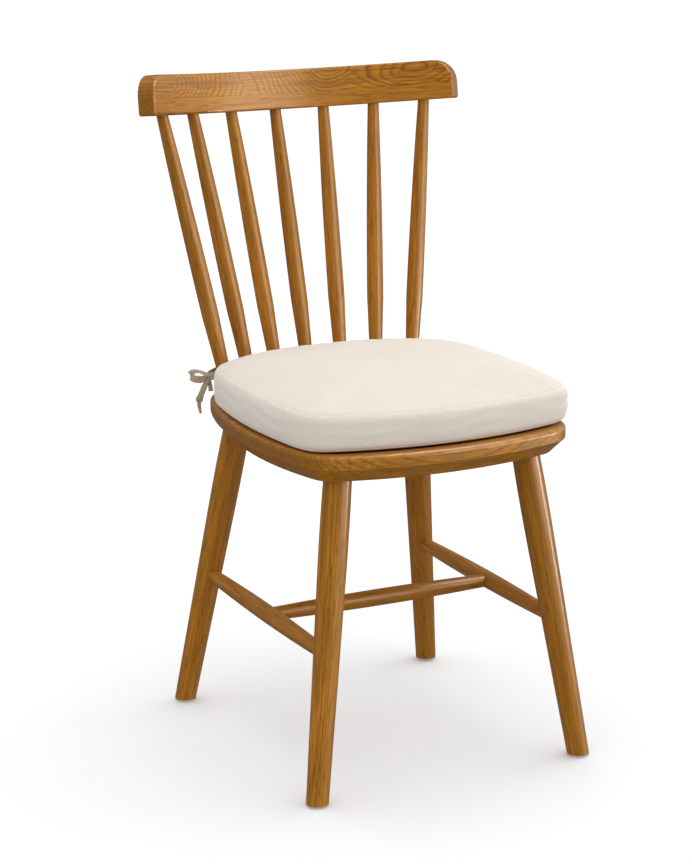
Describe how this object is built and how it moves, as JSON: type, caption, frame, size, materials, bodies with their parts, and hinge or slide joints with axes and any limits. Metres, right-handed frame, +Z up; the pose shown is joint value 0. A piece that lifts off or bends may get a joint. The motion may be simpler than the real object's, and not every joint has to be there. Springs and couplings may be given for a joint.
{
  "type": "windsor dining chair",
  "caption": "Windsor dining chair with a spindle back under a curved crest rail, turned splayed legs joined by an H stretcher, and a boxed seat cushion tied on.",
  "frame": {"origin": "on the floor, under the middle of the whole chair's box in plan", "axes": "+Z up, the chair faces -Y, +X to the right as seen from the front"},
  "size_m": [0.4794, 0.557, 0.8717],
  "materials": {
    "seat_wood": "satin lacquered oak, golden brown",
    "crest_wood": "satin lacquered oak, golden brown",
    "turned_wood": "satin lacquered oak, golden brown",
    "glide_nylon": "white nylon",
    "nail_steel": "plain steel",
    "cover_cloth": "off-white fine woven cloth",
    "foam": "open-cell polyurethane foam",
    "tie_tape": "folded tape of the cover cloth"
  },
  "bodies": {
    "chair": {"seat": "seat_wood", "crest_rail": "crest_wood", "spindle_1": "turned_wood", "spindle_2": "turned_wood", "spindle_3": "turned_wood", "spindle_4": "turned_wood", "spindle_5": "turned_wood", "spindle_6": "turned_wood", "spindle_7": "turned_wood", "front_left_leg": "turned_wood", "front_right_leg": "turned_wood", "rear_left_leg": "turned_wood", "rear_right_leg": "turned_wood", "left_side_stretcher": "turned_wood", "right_side_stretcher": "turned_wood", "cross_stretcher": "turned_wood", "front_left_glide": "glide_nylon", "front_right_glide": "glide_nylon", "rear_left_glide": "glide_nylon", "rear_right_glide": "glide_nylon", "front_left_glide_nail": "nail_steel", "front_right_glide_nail": "nail_steel", "rear_left_glide_nail": "nail_steel", "rear_right_glide_nail": "nail_steel"},
    "cushion": {"cushion_cover": "cover_cloth", "cushion_foam": "foam", "left_tie": "tie_tape", "right_tie": "tie_tape"}
  },
  "joints": [
    {"name": "cushion_lift", "type": "slide", "parent": "chair", "child": "cushion", "axis": [0, 0, 1], "range_m": [0, 0.3], "deforming": ["left_tie", "right_tie"]}
  ]
}
